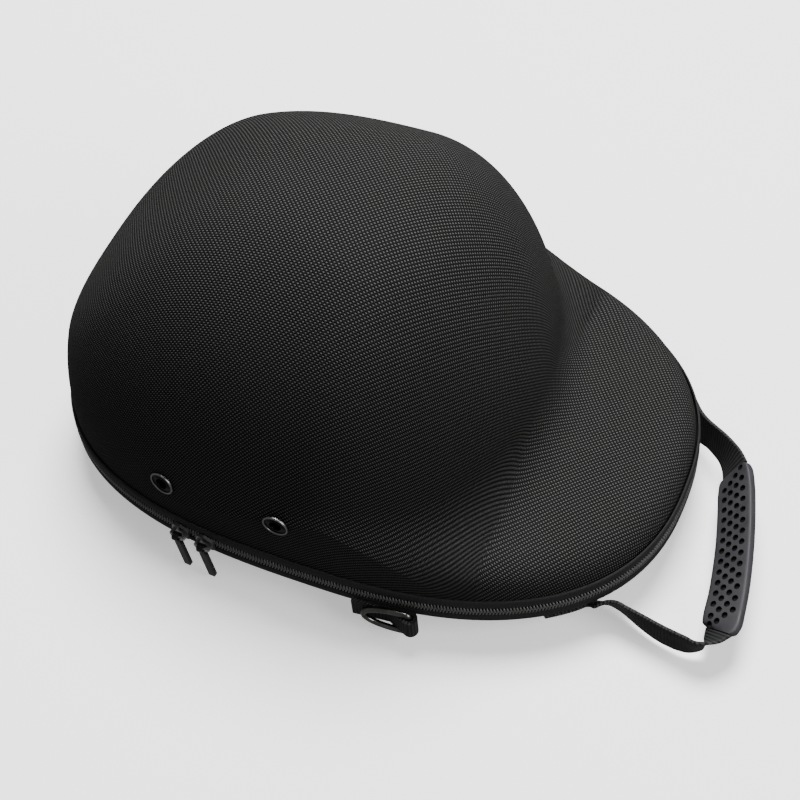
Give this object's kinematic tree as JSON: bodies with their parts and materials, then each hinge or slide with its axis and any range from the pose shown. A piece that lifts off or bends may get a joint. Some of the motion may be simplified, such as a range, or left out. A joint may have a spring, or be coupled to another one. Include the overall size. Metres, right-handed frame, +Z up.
{
  "type": "baseball cap carrier case",
  "caption": "Hard moulded carrier case in the shape of a baseball cap, with a zip round the seam, a front grab handle, side D-rings and vent eyelets.",
  "frame": {"origin": "on the flat underside of the lower shell, midway between the shells' front and rear edges and on the plane of symmetry", "axes": "+Z up from the underside to the crown, -Y towards the brim and the handle, X across; the zip pulls are on the -X side"},
  "size_m": [0.2052, 0.3331, 0.1713],
  "materials": {
    "shell_cloth": "coarse plain woven nylon over moulded foam, charcoal black",
    "tray_cloth": "fine woven nylon over moulded foam, black",
    "tape_cloth": "smooth woven binding tape, black",
    "zip_nylon": "nylon zip coil, dark grey",
    "slider_metal": "dark gunmetal plating, worn bright at its edges",
    "pull_gloss": "glossy black coating",
    "eyelet_metal": "nickel, satin",
    "ring_metal": "gunmetal, semi-gloss",
    "webbing": "ribbed polyester webbing, black",
    "grip_rubber": "matt moulded rubber with round blind holes"
  },
  "bodies": {
    "root": {"upper_shell": "shell_cloth", "lower_shell": "tray_cloth", "zip_chain": "zip_nylon", "upper_tape": "tape_cloth", "lower_tape": "tape_cloth", "hinge_strip": "tape_cloth", "slider_rear": "slider_metal", "slider_front": "slider_metal", "eyelet_near_rear": "eyelet_metal", "eyelet_near_front": "eyelet_metal", "eyelet_far_rear": "eyelet_metal", "eyelet_far_front": "eyelet_metal", "ring_tab_near": "webbing", "ring_tab_far": "webbing", "handle_strap_near": "webbing", "handle_strap_far": "webbing", "handle_grip": "grip_rubber"},
    "pull_rear": {"zip_pull_rear": "pull_gloss"},
    "pull_front": {"zip_pull_front": "pull_gloss"},
    "ring_near": {"d_ring_near": "ring_metal"},
    "ring_far": {"d_ring_far": "ring_metal"}
  },
  "joints": [
    {"name": "pull_rear_swing", "type": "hinge", "parent": "root", "child": "pull_rear", "pos_m": [-0.09887, 0.05715, 0.0231], "axis": [0.1479, 0.989, 0], "range_deg": [0, 150]},
    {"name": "pull_front_swing", "type": "hinge", "parent": "root", "child": "pull_front", "pos_m": [-0.10047, 0.04413, 0.0231], "axis": [0.0983, 0.9952, 0], "range_deg": [0, 150]},
    {"name": "ring_near_swing", "type": "hinge", "parent": "root", "child": "ring_near", "pos_m": [-0.09904, -0.0545, 0.0145], "axis": [0, 0, 1], "range_deg": [0, 140]},
    {"name": "ring_far_swing", "type": "hinge", "parent": "root", "child": "ring_far", "pos_m": [0.09904, -0.0545, 0.0145], "axis": [0, 0, -1], "range_deg": [0, 140]}
  ]
}
